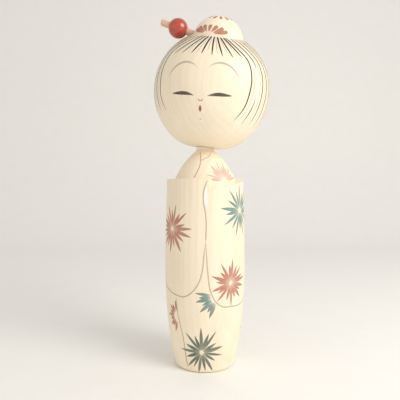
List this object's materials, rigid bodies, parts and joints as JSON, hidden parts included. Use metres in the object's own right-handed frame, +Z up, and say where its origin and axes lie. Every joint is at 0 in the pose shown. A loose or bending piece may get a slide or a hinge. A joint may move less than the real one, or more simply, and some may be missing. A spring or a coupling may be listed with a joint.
{
  "type": "kokeshi doll",
  "caption": "Turned wooden kokeshi doll with a painted kimono body, a ball head that turns on a peg, a topknot and a red bead hairpin.",
  "frame": {"origin": "centre of the round foot, on the surface the doll stands on", "axes": "+Z up along the body's turning axis, -Y the way the doll faces, +X to the viewer's right"},
  "size_m": [0.0797, 0.0796, 0.2362],
  "materials": {
    "pale_wood": "waxed satin",
    "peg_wood": "bare",
    "pin_wood": "oiled satin",
    "red_lacquer": "gloss lacquer"
  },
  "bodies": {
    "doll_body": {"body": "pale_wood", "chest": "pale_wood", "neck_peg": "peg_wood"},
    "head": {"head": "pale_wood", "bun": "pale_wood", "bun_dowel": "peg_wood"},
    "hairpin": {"hairpin_stick": "pin_wood", "hairpin_bead": "red_lacquer"}
  },
  "joints": [
    {"name": "head_turn", "type": "hinge", "parent": "doll_body", "child": "head", "pos_m": [0, 0, 0.1504], "axis": [0.1184, 0, 0.993], "continuous": true},
    {"name": "hairpin_pull", "type": "slide", "parent": "head", "child": "hairpin", "axis": [-0.9397, 0, 0.342], "range_m": [0, 0.013]}
  ]
}
